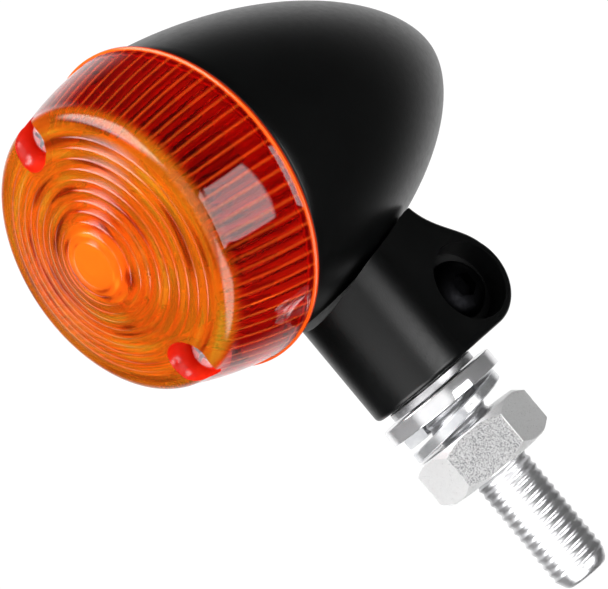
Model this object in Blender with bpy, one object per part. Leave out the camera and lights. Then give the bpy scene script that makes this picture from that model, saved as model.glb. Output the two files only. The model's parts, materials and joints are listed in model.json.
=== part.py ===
"""Bullet turn signal on a threaded mounting stud.

Frame: origin at the centre of the foot's flat base, stud along -Z, lens towards -Y, pivot screw head on +X.
The head frame has its origin at the centre of the lens's rear rim, its +Z towards the front of the lens and
its +Y up, so the housing lies on its -Z side.
"""

import math

import bmesh
import bpy
from mathutils import Matrix, Vector

MM = 0.001
GAP = 0.3

# Head: where the rim centre stands and how far the nose is tilted up.
HEAD_TILT = 4.0
RIM_Y = -16.5
RIM_Z = 47.4

# Pivot of the head in the foot's fork.
PIVOT_Y = 12.05
PIVOT_Z = 8.5
TILT_DOWN = 2.0
TILT_UP = 10.0

# Housing shell, a bullet of revolution.
HOUSING_R = 27.2
HOUSING_LENGTH = 63.2
HOUSING_POWER = 1.94
HOUSING_ROUND = 0.63
HOUSING_WALL = 2.2
MOUTH_Z = -1.4
MOUTH_R = 24.6

# Lug under the housing.
LUG_HALF = 3.0
LUG_R = 5.5
PIVOT_R = 3.0
RUNNING = 0.09

# Lens.
FLANGE_R = 28.5
FLANGE_T = 0.7
DRUM_REAR_R = 28.1
DRUM_FRONT_R = 24.95
SHOULDER_Z = 15.0
SHOULDER_R = 2.7
DOME_Z = 21.9
BULLSEYE_R = 3.6
RING_COUNT = 8
RING_DEPTH = 0.32
LENS_WALL = 2.0

# Screws that hold the lens.
LENS_SCREW_Y = 21.3
CUP_R = 3.95
CUP_FLOOR = 12.6
LENS_SCREW_R = 1.5
LENS_HEAD_R = 2.95
LENS_HEAD_H = 1.9

# Foot.
STEM_R = 10.6
ARM_HALF = 10.5
LOBE_R = 8.5
SLOT_HALF = 3.35
SLOT_FRONT = 6.3
POCKET_R = 6.9
POCKET_FLOOR = 6.0

# Stud and its hardware, downwards from the base plane.
STUD_R = 5.08
STUD_ROOT_R = 4.5
PITCH = 1.5
STUD_TIP = -41.0
COLLAR_R = 8.35
WASHER_R = 11.05
WASHER_TOP = -1.9
WASHER_BOTTOM = -4.75
LOCK_OUTER = 9.6
LOCK_INNER = 5.7
NUT_TOP = -9.8
NUT_BOTTOM = -18.2
NUT_ACROSS_FLATS = 19.8

# Bulb and its socket, in the head frame.
SHELL_R = 8.4
SHELL_BORE = 7.69
SHELL_FRONT = -4.0
SHELL_REAR = -36.0
BASE_R = 7.6
PIN_Z = -10.2
PIN_R = 1.0
BULB_TURN = 22.0
GLOBE_R = 9.5
GLOBE_Z = 3.5

# Lead outlet, on the housing's hidden lower side.
GROMMET_Z = -38.0
GROMMET_ANGLE = -128.0


def clear_scene():
    for item in list(bpy.data.objects):
        bpy.data.objects.remove(item, do_unlink=True)


def material(name, colour, roughness, metallic=0.0, transmission=0.0):
    made = bpy.data.materials.new(name)
    made.use_nodes = True
    shader = made.node_tree.nodes["Principled BSDF"]
    shader.inputs["Base Color"].default_value = (*colour, 1.0)
    shader.inputs["Roughness"].default_value = roughness
    shader.inputs["Metallic"].default_value = metallic
    shader.inputs["Transmission Weight"].default_value = transmission
    return made


def make_materials():
    return {
        "satin_black": material("satin_black", (0.018, 0.018, 0.02), 0.42),
        "amber": material("amber", (0.95, 0.3, 0.02), 0.08, 0.0, 0.7),
        "chrome": material("chrome", (0.8, 0.8, 0.82), 0.12, 1.0),
        "zinc": material("zinc", (0.68, 0.69, 0.71), 0.28, 1.0),
        "black_screw": material("black_screw", (0.02, 0.02, 0.022), 0.35, 0.6),
        "rubber": material("rubber", (0.02, 0.02, 0.02), 0.7),
        "bright_steel": material("bright_steel", (0.75, 0.76, 0.78), 0.2, 1.0),
        "brass": material("brass", (0.78, 0.57, 0.25), 0.25, 1.0),
        "glass": material("glass", (0.95, 0.97, 0.97), 0.02, 0.0, 1.0),
        "tungsten": material("tungsten", (0.35, 0.35, 0.36), 0.35, 1.0),
        "fibre": material("fibre", (0.32, 0.16, 0.07), 0.8),
        "vitrite": material("vitrite", (0.015, 0.015, 0.02), 0.2),
        "solder": material("solder", (0.6, 0.6, 0.6), 0.35, 1.0),
    }


def mesh_object(name, verts, faces, mat=None, parent=None):
    mesh = bpy.data.meshes.new(name)
    mesh.from_pydata([Vector(v) * MM for v in verts], [], faces)
    shape = bmesh.new()
    shape.from_mesh(mesh)
    bmesh.ops.recalc_face_normals(shape, faces=shape.faces)
    shape.to_mesh(mesh)
    shape.free()
    made = bpy.data.objects.new(name, mesh)
    bpy.context.collection.objects.link(made)
    if mat:
        mesh.materials.append(mat)
    if parent:
        made.parent = parent
    return made


def soften(made, angle=35.0):
    made.data.shade_smooth()
    made.data.set_sharp_from_angle(angle=math.radians(angle))
    return made


def revolve_mesh(profile, segments, turn=0.0):
    """Vertices and faces of a closed profile of (radius, z) turned about Z. Radius 0 makes one point."""
    verts = []
    rings = []
    for radius, z in profile:
        if radius < 1e-6:
            rings.append([len(verts)])
            verts.append((0.0, 0.0, z))
            continue
        rings.append(list(range(len(verts), len(verts) + segments)))
        for i in range(segments):
            angle = turn + 2 * math.pi * i / segments
            verts.append((radius * math.cos(angle), radius * math.sin(angle), z))
    faces = []
    for k, here in enumerate(rings):
        there = rings[(k + 1) % len(rings)]
        if len(here) == 1 and len(there) == 1:
            continue
        for i in range(segments):
            j = (i + 1) % segments
            if len(here) == 1:
                faces.append((here[0], there[i], there[j]))
            elif len(there) == 1:
                faces.append((here[i], there[0], here[j]))
            else:
                faces.append((here[i], there[i], there[j], here[j]))
    return verts, faces


def revolved(name, profile, mat=None, parent=None, segments=48, turn=0.0):
    verts, faces = revolve_mesh(profile, segments, turn)
    return mesh_object(name, verts, faces, mat, parent)


def prism(name, outline, low, high, axis="X", mat=None, parent=None):
    """A flat outline pushed along X or Z. The outline is (y, z) for X and (x, y) for Z."""
    count = len(outline)
    verts = []
    for level in (low, high):
        for a, b in outline:
            verts.append((level, a, b) if axis == "X" else (a, b, level))
    faces = [tuple(range(count)), tuple(range(count, 2 * count))]
    for i in range(count):
        j = (i + 1) % count
        faces.append((i, j, count + j, count + i))
    return mesh_object(name, verts, faces, mat, parent)


def circle(centre, radius, count, turn=0.0):
    points = []
    for i in range(count):
        angle = turn + 2 * math.pi * i / count
        points.append((centre[0] + radius * math.cos(angle), centre[1] + radius * math.sin(angle)))
    return points


def cut(target, cutter, operation="DIFFERENCE"):
    """Applies one Boolean at once and removes the cutter. Both stand in the same parent's frame."""
    cutter.parent = target.parent
    bpy.context.view_layer.update()
    modifier = target.modifiers.new("boolean", "BOOLEAN")
    modifier.operation = operation
    modifier.solver = "EXACT"
    modifier.object = cutter
    bpy.context.view_layer.update()
    graph = bpy.context.evaluated_depsgraph_get()
    result = bpy.data.meshes.new_from_object(target.evaluated_get(graph))
    target.modifiers.remove(modifier)
    old = target.data
    target.data = result
    result.name = old.name + "_cut"
    bpy.data.objects.remove(cutter, do_unlink=True)
    return target


def tidy(target, distance=0.002):
    shape = bmesh.new()
    shape.from_mesh(target.data)
    bmesh.ops.remove_doubles(shape, verts=shape.verts, dist=distance * MM)
    bmesh.ops.dissolve_degenerate(shape, edges=shape.edges, dist=distance * MM)
    shape.to_mesh(target.data)
    shape.free()
    return target


def bar(name, x, y, z_low, z_high, radius, segments=24, turn=0.05):
    """A plain cylinder along Z, used as a boss or a drill."""
    return prism(name, circle((x, y), radius, segments, turn), z_low, z_high, "Z")


def cross_bar(name, y, z, x_low, x_high, radius, segments=32):
    """A plain cylinder along X, used as a boss or a drill."""
    return prism(name, circle((y, z), radius, segments), x_low, x_high, "X")


def housing_radius(depth):
    share = min(1.0, max(0.0, depth / HOUSING_LENGTH))
    return HOUSING_R * (1 - share**HOUSING_POWER) ** HOUSING_ROUND


def bullet_profile(offset, start, steps=12):
    """Outline from the mouth to the tip, pushed out (or in) by an offset."""
    length = HOUSING_LENGTH + offset
    points = []
    shares = [start / length + (0.82 - start / length) * i / (steps - 4) for i in range(steps - 3)]
    shares += [0.9, 0.955, 0.988]
    for share in shares:
        radius = (HOUSING_R + offset) * (1 - share**HOUSING_POWER) ** HOUSING_ROUND
        points.append((radius, -share * length))
    points.append((0.0, -length))
    return points


def build_housing(mats, head):
    outer = bullet_profile(0.0, -MOUTH_Z)
    inner = bullet_profile(-HOUSING_WALL, 5.0, 10)
    inner.reverse()
    profile = outer + inner + [(MOUTH_R, -4.2), (MOUTH_R, MOUTH_Z)]
    shell = revolved("housing", profile, mats["satin_black"], head, 40)
    for side in (-1, 1):
        boss = bar("boss", 0.0, side * LENS_SCREW_Y, -15.5, -3.6, 4.0)
        cut(shell, boss, "UNION")
    cut(shell, lug_in_head(), "UNION")
    for side in (-1, 1):
        cut(shell, bar("drill", 0.0, side * LENS_SCREW_Y, -13.5, 2.0, LENS_SCREW_R + RUNNING))
    cut(shell, pivot_bore_in_head())
    cut(shell, grommet_drill())
    return soften(tidy(shell))


def to_head(y, z):
    """A point of the YZ plane at rest, in the head frame's (y, z)."""
    tilt = math.radians(HEAD_TILT)
    dy, dz = y - RIM_Y, z - RIM_Z
    return (dy * math.sin(tilt) + dz * math.cos(tilt), -dy * math.cos(tilt) + dz * math.sin(tilt))


def lug_in_head():
    """The flat lug under the shell: round about the pivot, its top edge buried in the shell's wall."""
    outline = []
    for i in range(19):
        angle = math.radians(-188 + i * 11.0)
        outline.append((PIVOT_Y + LUG_R * math.cos(angle), PIVOT_Z + LUG_R * math.sin(angle)))
    outline += [(17.9, 11.5), (17.0, 18.5), (17.0, 24.7), (13.3, 23.7), (8.4, 22.4), (7.6, 16.0)]
    return prism("lug", [to_head(y, z) for y, z in outline], -LUG_HALF, LUG_HALF, "X")


def pivot_bore_in_head():
    centre = to_head(PIVOT_Y, PIVOT_Z)
    return prism("bore", circle(centre, PIVOT_R + RUNNING, 32), -9.0, 9.0, "X")


def grommet_matrix():
    """Frame of the lead outlet: local Z points out of the shell, on its hidden lower side."""
    radius = housing_radius(-GROMMET_Z)
    slope = housing_radius(-GROMMET_Z + 1.0) - housing_radius(-GROMMET_Z - 1.0)
    lean = math.atan2(slope, 2.0)
    angle = math.radians(GROMMET_ANGLE)
    out = Vector((math.cos(angle) * math.cos(lean), math.sin(angle) * math.cos(lean), math.sin(lean)))
    rotation = Vector((0, 0, 1)).rotation_difference(out).to_matrix().to_4x4()
    place = Vector((radius * math.cos(angle), radius * math.sin(angle), GROMMET_Z)) * MM
    return Matrix.Translation(place) @ rotation


def grommet_drill():
    drill = bar("drill", 0.0, 0.0, -6.0, 4.0, 2.6)
    drill.data.transform(grommet_matrix())
    return drill


def build_grommet(mats, head):
    profile = [(1.6, 1.6), (3.4, 1.6), (3.9, 0.95), (2.3, 0.5), (2.3, -2.9), (3.6, -3.6), (3.2, -4.4), (1.6, -4.4)]
    made = revolved("lead_grommet", profile, mats["rubber"], head, 20)
    made.data.transform(grommet_matrix())
    return soften(made)


def dome_profile():
    """Stepped front of the lens, from the shoulder to the flat bullseye."""
    edge_r = DRUM_FRONT_R - SHOULDER_R
    edge_z = SHOULDER_Z + SHOULDER_R
    points = []
    for i in range(RING_COUNT):
        outer = edge_r + (BULLSEYE_R - edge_r) * i / RING_COUNT
        inner = edge_r + (BULLSEYE_R - edge_r) * (i + 1) / RING_COUNT
        low = edge_z + (DOME_Z - edge_z) * i / RING_COUNT
        high = edge_z + (DOME_Z - edge_z) * (i + 1) / RING_COUNT
        points.append((outer, low))
        points.append((inner + 0.25, high - RING_DEPTH))
    points.append((BULLSEYE_R, DOME_Z))
    points.append((0.0, DOME_Z))
    return points


def lens_outline():
    points = [(FLANGE_R, 0.0), (FLANGE_R, FLANGE_T), (DRUM_REAR_R, FLANGE_T + 0.2), (DRUM_FRONT_R, SHOULDER_Z)]
    for degrees in (25, 50, 72):
        angle = math.radians(degrees)
        radius = DRUM_FRONT_R - SHOULDER_R + SHOULDER_R * math.cos(angle)
        points.append((radius, SHOULDER_Z + SHOULDER_R * math.sin(angle)))
    return points + dome_profile()


def lens_inside():
    drum = DRUM_REAR_R - LENS_WALL
    front = DRUM_FRONT_R - LENS_WALL
    edge = SHOULDER_Z + SHOULDER_R - LENS_WALL - 0.2
    crown = DOME_Z - LENS_WALL
    return [(0.0, crown), (10.0, crown - 1.1), (front - 2.4, edge), (front, SHOULDER_Z - 1.0), (drum, 0.0)]


def build_lens(mats, head):
    lens = revolved("lens", lens_outline() + lens_inside(), mats["amber"], head, 40)
    for side in (-1, 1):
        y = side * LENS_SCREW_Y
        post = revolved("post", post_profile(), None, head, 24, 0.11)
        post.data.transform(Matrix.Translation((0, y * MM, 0)))
        envelope = revolved("envelope", [(0.0, -2.0), (26.6, -2.0)] + lens_envelope(), None, None, 40, 0.03)
        cut(post, envelope, "INTERSECT")
        cut(lens, post, "UNION")
    for side in (-1, 1):
        y = side * LENS_SCREW_Y
        cut(lens, bar("cup", 0.0, y, CUP_FLOOR, 30.0, CUP_R, 28, 0.07))
        cut(lens, bar("hole", 0.0, y, -3.0, 20.0, LENS_SCREW_R + RUNNING))
    return soften(lens)


def post_profile():
    """A screw tube from the rim up to the thicker cup under the shoulder."""
    return [(0.0, 0.35), (2.9, 0.35), (2.9, 9.9), (4.6, 10.7), (4.6, 24.0), (0.0, 24.0)]


def lens_envelope():
    """A little inside the lens's outer face, so a cup's wall never stands proud of it."""
    edge_r = DRUM_FRONT_R - SHOULDER_R
    edge_z = SHOULDER_Z + SHOULDER_R
    inset = 0.12
    points = [(DRUM_FRONT_R - inset, SHOULDER_Z)]
    for degrees in (25, 50, 72):
        angle = math.radians(degrees)
        radius = edge_r - inset + SHOULDER_R * math.cos(angle)
        points.append((radius, SHOULDER_Z - inset + SHOULDER_R * math.sin(angle)))
    points.append((edge_r - 1.5, edge_z - 0.45))
    points.append((0.0, DOME_Z - 0.9))
    return points


def build_gasket(mats, head):
    profile = [(27.6, -0.3), (27.6, -1.1), (24.9, -1.1), (24.9, -0.3)]
    ring = revolved("lens_gasket", profile, mats["rubber"], head, 40)
    return soften(ring)


def cross_cutter(depth_low, depth_high, reach, half):
    points = []
    for quarter in range(4):
        angle = quarter * math.pi / 2
        for along, across in ((half, -half), (reach, -half * 0.8), (reach, half * 0.8)):
            x = along * math.cos(angle) - across * math.sin(angle)
            y = along * math.sin(angle) + across * math.cos(angle)
            points.append((x, y))
    return prism("cross", points, depth_low, depth_high, "Z")


def build_lens_screw(name, side, mats, head):
    top = CUP_FLOOR + GAP + LENS_HEAD_H
    seat = CUP_FLOOR + GAP
    profile = [
        (0.0, top), (1.7, top - 0.08), (2.5, top - 0.42), (LENS_HEAD_R, top - 1.05), (LENS_HEAD_R, seat),
        (LENS_SCREW_R, seat), (LENS_SCREW_R, -11.0), (0.9, -12.3), (0.0, -12.3),
    ]
    screw = revolved(name, profile, mats["chrome"], head, 24)
    cut(screw, cross_cutter(top - 1.2, top + 1.0, 1.75, 0.42))
    screw.location = (0.0, side * LENS_SCREW_Y * MM, 0.0)
    return soften(tidy(screw))


def build_reflector(mats, head):
    profile = [
        (24.2, -1.9), (24.2, -2.7), (16.9, -2.7), (13.2, -11.8), (9.5, -16.4), (8.75, -16.4), (8.75, -15.6),
        (9.1, -15.6), (12.5, -11.3), (16.3, -1.9),
    ]
    dish = revolved("reflector", profile, mats["bright_steel"], head, 36)
    for side in (-1, 1):
        cut(dish, bar("hole", 0.0, side * LENS_SCREW_Y, -9.0, 3.0, LENS_SCREW_R + GAP))
    return soften(tidy(dish))


def sector(name, r_low, r_high, start, end, z_low, z_high, steps):
    outline = []
    for i in range(steps + 1):
        angle = math.radians(start + (end - start) * i / steps)
        outline.append((r_high * math.cos(angle), r_high * math.sin(angle)))
    for i in range(steps, -1, -1):
        angle = math.radians(start + (end - start) * i / steps)
        outline.append((r_low * math.cos(angle), r_low * math.sin(angle)))
    return prism(name, outline, z_low, z_high, "Z")


def build_socket_shell(mats, head):
    profile = [
        (SHELL_R, SHELL_FRONT), (SHELL_R, SHELL_REAR), (4.6, SHELL_REAR), (4.6, SHELL_REAR + 0.8),
        (SHELL_BORE, SHELL_REAR + 0.8), (SHELL_BORE, SHELL_FRONT),
    ]
    shell = revolved("socket_shell", profile, mats["zinc"], head, 40)
    half = 9.2
    for turn in (0.0, 180.0):
        entry = turn - BULB_TURN
        cut(shell, sector("leg", 6.5, 9.5, entry - half, turn + half, PIN_Z - 1.35, PIN_Z + 1.35, 8))
        cut(shell, sector("way", 6.5, 9.5, entry - half, entry + half, PIN_Z - 1.3, SHELL_FRONT + 3.0, 4))
    return soften(tidy(shell))


def build_bulb_base(mats, head):
    profile = [
        (BASE_R, -6.2), (BASE_R, -20.6), (6.6, -21.6), (5.9, -21.6), (5.9, -20.8), (7.0, -19.8), (7.0, -6.2),
    ]
    base = revolved("bulb_base", profile, mats["brass"], head, 40)
    for turn in (0.0, 180.0):
        pin = prism("pin", circle((0.0, 0.0), PIN_R, 12), 7.2, 8.35, "X")
        pin.data.transform(Matrix.Rotation(math.radians(turn), 4, "Z") @ Matrix.Translation((0, 0, PIN_Z * MM)))
        cut(base, pin, "UNION")
    return soften(tidy(base))


def globe_points(offset):
    """Half outline of the globe from its crown to the neck."""
    radius = GLOBE_R - offset
    points = []
    for degrees in (0, 18, 36, 54, 72, 90, 108, 126):
        angle = math.radians(degrees)
        points.append((radius * math.sin(angle), GLOBE_Z + radius * math.cos(angle)))
    neck = 6.6 - offset
    points.append((neck, -6.4))
    points.append((neck, -13.0))
    return points


def build_bulb_glass(mats, head):
    outer = globe_points(0.0)
    inner = globe_points(0.7)
    inner.reverse()
    return soften(revolved("bulb_glass", outer + inner, mats["glass"], head, 20), 60)


def build_bulb_mount(mats, head):
    profile = [(0.0, -4.6), (1.5, -4.8), (1.9, -6.5), (2.2, -11.0), (3.8, -18.5), (3.8, -19.3), (0.0, -19.3)]
    made = revolved("bulb_stem", profile, mats["glass"], head, 20)
    made.scale = (0.62, 1.0, 1.0)
    return soften(made)


def tube_along(name, points, radius, sides, mat, parent):
    """A closed round wire along a list of points, ends capped."""
    path = [Vector(p) for p in points]
    verts = []
    faces = []
    normal = Vector((0, 1, 0))
    for i, here in enumerate(path):
        ahead = path[min(i + 1, len(path) - 1)] - path[max(i - 1, 0)]
        ahead.normalize()
        normal = (normal - ahead * normal.dot(ahead)).normalized()
        side = ahead.cross(normal)
        for k in range(sides):
            angle = 2 * math.pi * k / sides
            verts.append(here + (normal * math.cos(angle) + side * math.sin(angle)) * radius)
    for i in range(len(path) - 1):
        for k in range(sides):
            m = (k + 1) % sides
            faces.append((i * sides + k, i * sides + m, (i + 1) * sides + m, (i + 1) * sides + k))
    faces.append(tuple(range(sides)))
    faces.append(tuple(range((len(path) - 1) * sides, len(path) * sides)))
    return mesh_object(name, verts, faces, mat, parent)


def build_filament(mats, head):
    """Two support wires and the coil between them, bent from one run."""
    points = [(3.9, 0.0, -18.0), (3.9, 0.0, -10.0), (3.4, 0.0, -2.0), (3.0, 0.0, 3.6)]
    turns = 6
    per_turn = 6
    for i in range(turns * per_turn + 1):
        angle = 2 * math.pi * i / per_turn
        x = 2.5 - 5.0 * i / (turns * per_turn)
        points.append((x, 0.5 * math.sin(angle), 4.2 - 0.5 * math.cos(angle)))
    points += [(-3.0, 0.0, 3.6), (-3.4, 0.0, -2.0), (-3.9, 0.0, -10.0), (-3.9, 0.0, -18.0)]
    return soften(tube_along("bulb_filament", points, 0.16, 4, mats["tungsten"], head))


def build_bulb_tail(mats, head):
    plug = [(0.0, -21.9), (5.4, -21.9), (3.6, -22.9), (3.0, -22.9), (3.0, -22.3), (0.0, -22.3)]
    soften(revolved("bulb_insulator", plug, mats["vitrite"], head, 28))
    button = [(0.0, -22.65), (2.6, -22.65), (2.6, -23.3), (1.6, -23.9), (0.0, -24.0)]
    soften(revolved("bulb_contact", button, mats["solder"], head, 20))


def build_socket_contact(mats, head):
    disc = [(7.3, -25.3), (7.3, -26.9), (1.9, -26.9), (1.9, -25.3)]
    soften(revolved("contact_disc", disc, mats["fibre"], head, 32))
    rivet = [
        (0.0, -24.3), (1.8, -24.4), (2.8, -25.0), (1.6, -25.0), (1.6, -27.2), (2.6, -27.2), (2.6, -27.8),
        (0.9, -28.4), (0.0, -28.4),
    ]
    soften(revolved("contact_rivet", rivet, mats["brass"], head, 20))


def build_contact_spring(mats, head):
    points = []
    turns = 4.5
    per_turn = 11
    count = int(turns * per_turn)
    for i in range(count + 1):
        angle = 2 * math.pi * i / per_turn
        z = -27.8 - 6.6 * i / count
        points.append((6.2 * math.cos(angle), 6.2 * math.sin(angle), z))
    return soften(tube_along("contact_spring", points, 0.45, 5, mats["zinc"], head))


def foot_outline():
    """Side outline of the foot from the base round the lobe and up the back, as (y, z)."""
    points = [(0.0, 0.0), (PIVOT_Y - 0.6, 0.0)]
    for i in range(13):
        angle = math.radians(-88 + i * 9.4)
        points.append((PIVOT_Y + LOBE_R * math.cos(angle), PIVOT_Z + LOBE_R * math.sin(angle)))
    start = Vector(points[-1])
    handles = (start, Vector((18.25, 16.8)), Vector((12.65, 19.2)), Vector((12.25, 25.8)))
    for i in range(1, 8):
        t = i / 7
        point = Vector((0.0, 0.0))
        for k, handle in enumerate(handles):
            point += handle * (math.comb(3, k) * t**k * (1 - t) ** (3 - k))
        points.append(tuple(point))
    return points + [(11.65, 33.0), (0.0, 33.0)]


def round_edges(made, width, segments, angle):
    """Rounds the sharp edges of a solid in place."""
    bevel = made.modifiers.new("round", "BEVEL")
    bevel.width = width * MM
    bevel.segments = segments
    bevel.limit_method = "ANGLE"
    bevel.angle_limit = math.radians(angle)
    bpy.context.view_layer.update()
    graph = bpy.context.evaluated_depsgraph_get()
    result = bpy.data.meshes.new_from_object(made.evaluated_get(graph))
    made.modifiers.remove(bevel)
    made.data = result
    return made


def swept_bullet(tilt):
    """The housing's outer form, a little larger, at one tilt of the head from rest."""
    profile = [(HOUSING_R + 0.45, 6.0)] + bullet_profile(0.45, 0.5, 10) + [(0.0, 6.0)]
    verts, faces = revolve_mesh(profile, 40)
    form = mesh_object("saddle", verts, faces)
    turn = Matrix.Translation((0, PIVOT_Y * MM, PIVOT_Z * MM))
    turn = turn @ Matrix.Rotation(math.radians(-tilt), 4, "X")
    turn = turn @ Matrix.Translation((0, -PIVOT_Y * MM, -PIVOT_Z * MM))
    form.data.transform(turn @ head_matrix())
    return form


def head_matrix():
    place = Matrix.Translation((0, RIM_Y * MM, RIM_Z * MM))
    return place @ Matrix.Rotation(math.radians(90 - HEAD_TILT), 4, "X")


def build_foot(mats):
    rounding = 0.9
    stem_profile = [(0.0, 0.0), (STEM_R - rounding, 0.0), (STEM_R - 0.26, 0.26), (STEM_R, rounding)]
    stem_profile += [(STEM_R, 33.0), (0.0, 33.0)]
    foot = revolved("pivot_base", stem_profile, mats["satin_black"], None, 48)
    arm = prism("arm", foot_outline(), -ARM_HALF, ARM_HALF, "X")
    round_edges(arm, 1.0, 2, 50)
    cut(foot, arm, "UNION")
    slot = [(SLOT_FRONT, 1.0), (40.0, 1.0), (40.0, 40.0), (SLOT_FRONT, 40.0)]
    cut(foot, prism("slot", slot, -SLOT_HALF, SLOT_HALF, "X"))
    for tilt in (-TILT_DOWN, 0.5 * (TILT_UP - TILT_DOWN), TILT_UP):
        cut(foot, swept_bullet(tilt))
    cut(foot, cross_bar("pocket", PIVOT_Y, PIVOT_Z, POCKET_FLOOR, 14.0, POCKET_R, 40))
    cut(foot, prism("hex", hexagon(10.6, (PIVOT_Y, PIVOT_Z)), -14.0, -POCKET_FLOOR, "X"))
    cut(foot, cross_bar("bore", PIVOT_Y, PIVOT_Z, -12.0, 12.0, PIVOT_R + RUNNING))
    cut(foot, bar("stud_hole", 0.0, 0.0, -5.0, 12.5, 4.9 + GAP, 32))
    return soften(tidy(foot))


def hexagon(across_flats, centre=(0.0, 0.0), turn=0.0):
    radius = across_flats / math.sqrt(3)
    return circle(centre, radius, 6, turn)


def build_pivot_screw(mats):
    seat = POCKET_FLOOR + GAP
    profile = [
        (0.0, seat + 2.75), (2.6, seat + 2.65), (4.0, seat + 2.1), (4.9, seat + 1.1), (5.2, seat + 0.3), (5.2, seat),
        (PIVOT_R, seat), (PIVOT_R, -9.0), (2.4, -9.6), (0.0, -9.6),
    ]
    screw = revolved("pivot_screw", profile, mats["black_screw"], None, 32)
    cut(screw, prism("key", hexagon(4.0), seat + 0.8, seat + 6.0, "Z"))
    tidy(screw)
    lay_along_x(screw)
    return soften(screw)


def lay_along_x(made):
    """Turns a piece made along Z so that its Z runs along +X through the pivot."""
    turn = Matrix.Rotation(math.radians(90), 4, "Y")
    place = Matrix.Translation((0, PIVOT_Y * MM, PIVOT_Z * MM))
    made.matrix_world = place @ turn


def build_pivot_nut(mats):
    seat = -POCKET_FLOOR - GAP
    nut = prism("pivot_nut", hexagon(10.0, (0, 0), math.pi / 6), seat - 2.6, seat, "Z", mats["black_screw"])
    cone = [(0.0, -2.0), (5.1, -6.2), (6.2, -6.9), (6.2, -8.3), (5.0, -9.2), (0.0, -9.2)]
    cut(nut, revolved("chamfer", cone, None, None, 32), "INTERSECT")
    cut(nut, bar("bore", 0.0, 0.0, -12.0, 0.0, PIVOT_R + RUNNING, 32))
    tidy(nut)
    turn = Matrix.Rotation(math.radians(90), 4, "Y")
    nut.matrix_world = Matrix.Translation((0, PIVOT_Y * MM, PIVOT_Z * MM)) @ turn
    nut.rotation_mode = "XYZ"
    return soften(nut)


def thread_body(z_low, z_high, segments):
    """A rod with a real helical ridge, longer than the stud, to be trimmed by the stud's own outline."""
    shape = ((STUD_ROOT_R, 0.0), (STUD_R, 0.34), (STUD_R, 0.66))
    rows = int((z_high - z_low) / PITCH)
    steps = len(shape)
    verts = []
    for j in range(segments):
        angle = 2 * math.pi * j / segments
        for k in range(rows * steps + 1):
            radius, share = shape[k % steps]
            z = z_low + PITCH * (k // steps + share + j / segments)
            verts.append((radius * math.cos(angle), radius * math.sin(angle), z))
    height = rows * steps + 1
    faces = []
    for j in range(segments - 1):
        for k in range(height - 1):
            a = j * height + k
            faces.append((a, a + height, a + height + 1, a + 1))
    last = (segments - 1) * height
    for k in range(height - 1 - steps):
        faces.append((last + k, k + steps, k + steps + 1, last + k + 1))
    low = len(verts)
    verts.append((0.0, 0.0, z_low))
    ring = [j * height for j in range(segments)] + [steps - i for i in range(steps + 1)]
    for i in range(len(ring) - 1):
        faces.append((low, ring[i + 1], ring[i]))
    high = len(verts)
    verts.append((0.0, 0.0, z_low + PITCH * (rows + 1)))
    top = [j * height + height - 1 for j in range(segments)]
    wall = [last + height - 1 - steps + i for i in range(steps + 1)]
    ring = top[:-1] + list(reversed(wall))
    for i in range(len(ring)):
        faces.append((high, ring[i], ring[(i + 1) % len(ring)]))
    return verts, faces


def build_stud(mats):
    outline = [
        (0.0, STUD_TIP), (3.6, STUD_TIP), (4.1, STUD_TIP + 0.5), (STUD_R + 0.05, STUD_TIP + 2.6),
        (STUD_R + 0.05, -1.0), (0.0, -1.0),
    ]
    verts, faces = thread_body(-43.5, 1.5, 14)
    stud = mesh_object("mounting_stud", verts, faces, mats["zinc"])
    cut(stud, revolved("trim", outline, None, None, 36, 0.04), "INTERSECT")
    upper = [
        (0.0, -1.6), (COLLAR_R, -1.6), (COLLAR_R, -GAP), (4.9, -GAP), (4.9, 11.4), (4.1, 12.2), (0.0, 12.2),
    ]
    cut(stud, revolved("upper", upper, None, None, 36, 0.02), "UNION")
    return soften(tidy(stud), 40)


def build_flat_washer(mats):
    edge = 0.2
    profile = [
        (WASHER_R - edge, WASHER_TOP), (WASHER_R, WASHER_TOP - edge), (WASHER_R, WASHER_BOTTOM + edge),
        (WASHER_R - edge, WASHER_BOTTOM), (5.4, WASHER_BOTTOM), (5.4, WASHER_TOP),
    ]
    return soften(revolved("flat_washer", profile, mats["chrome"], None, 36))


def build_lock_washer(mats):
    """One open turn of square wire, its ends apart on the side away from the pivot screw's head."""
    top = WASHER_BOTTOM - GAP
    bottom = NUT_TOP + GAP
    thick = 1.9
    steps = 40
    start = math.radians(225)
    sweep = math.radians(352)
    verts = []
    for i in range(steps + 1):
        angle = start + sweep * i / steps
        low = bottom + (top - thick - bottom) * i / steps
        for radius, z in ((LOCK_INNER, low), (LOCK_OUTER, low), (LOCK_OUTER, low + thick), (LOCK_INNER, low + thick)):
            verts.append((radius * math.cos(angle), radius * math.sin(angle), z))
    faces = [(0, 1, 2, 3), tuple(steps * 4 + k for k in range(4))]
    for i in range(steps):
        for k in range(4):
            m = (k + 1) % 4
            faces.append((i * 4 + k, i * 4 + m, (i + 1) * 4 + m, (i + 1) * 4 + k))
    ring = mesh_object("lock_washer", verts, faces, mats["zinc"])
    return soften(ring)


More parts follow.
